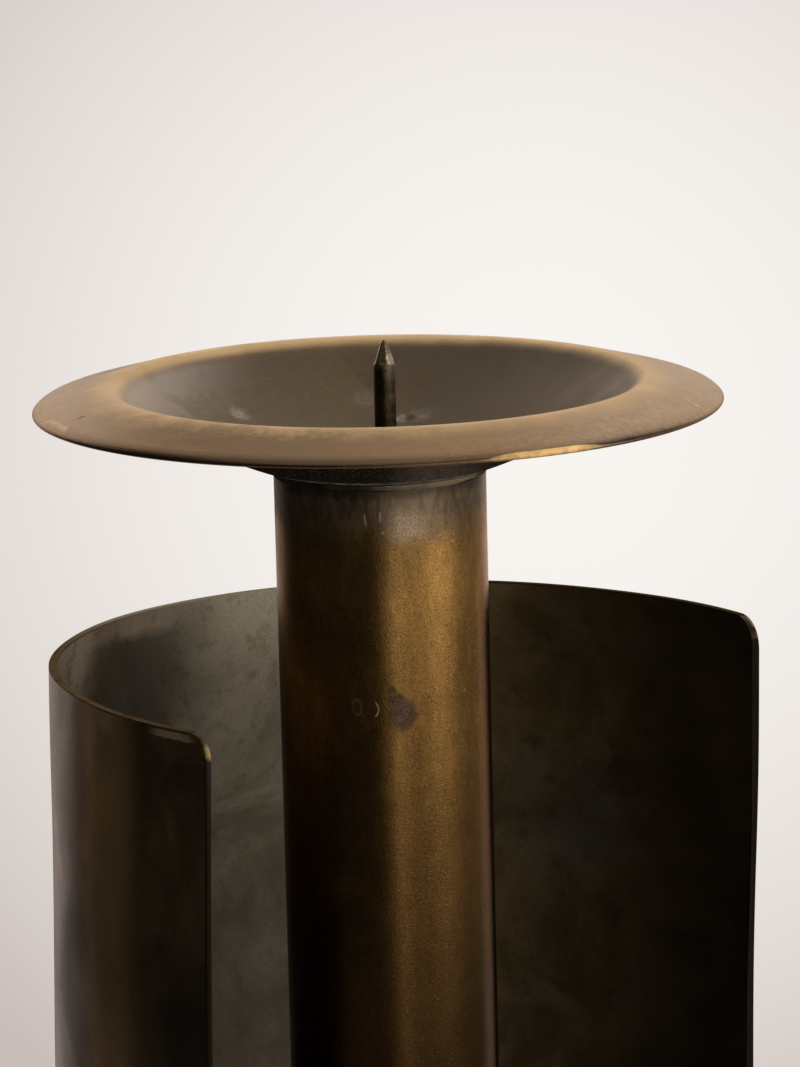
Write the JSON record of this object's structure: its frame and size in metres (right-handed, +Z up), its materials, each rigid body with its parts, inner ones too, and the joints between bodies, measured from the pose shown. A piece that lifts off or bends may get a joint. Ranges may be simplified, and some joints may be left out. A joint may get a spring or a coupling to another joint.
{
  "type": "candle holder",
  "caption": "Pricket candle holder: a spun drip pan with a spike on a round stem, half ringed by a bent sheet screen on a round base.",
  "frame": {"origin": "middle of the felt pad's underside, on the axis of the bent screen", "axes": "+Z up, +X to the right and +Y to the back as the picture sees it; the screen is open towards +X and -Y"},
  "size_m": [0.156, 0.1695, 0.2326],
  "materials": {
    "pan_brass": "satin tan-brown patina over spun brass",
    "stem_brass": "dark brown mottled patina over drawn brass tube",
    "screen_brass": "near-black brown patina outside, clouded grey-green inside",
    "base_brass": "dark brown patina with a worn edge",
    "spike_brass": "darkened rod with a bright filed point",
    "solder": "dull grey soft solder with a green bloom",
    "steel": "plain zinc-plated steel",
    "felt": "dark green wool felt"
  },
  "bodies": {
    "root": {"felt_pad": "felt", "base_plate": "base_brass", "screen_sheet": "screen_brass", "screen_solder": "solder", "stem_tube": "stem_brass", "stem_foot_plug": "stem_brass", "foot_bolt": "steel", "foot_washer": "steel", "drip_pan": "pan_brass", "pan_solder": "solder", "pricket_spike": "spike_brass", "spike_washer": "steel", "spike_nut": "steel"}
  },
  "joints": []
}
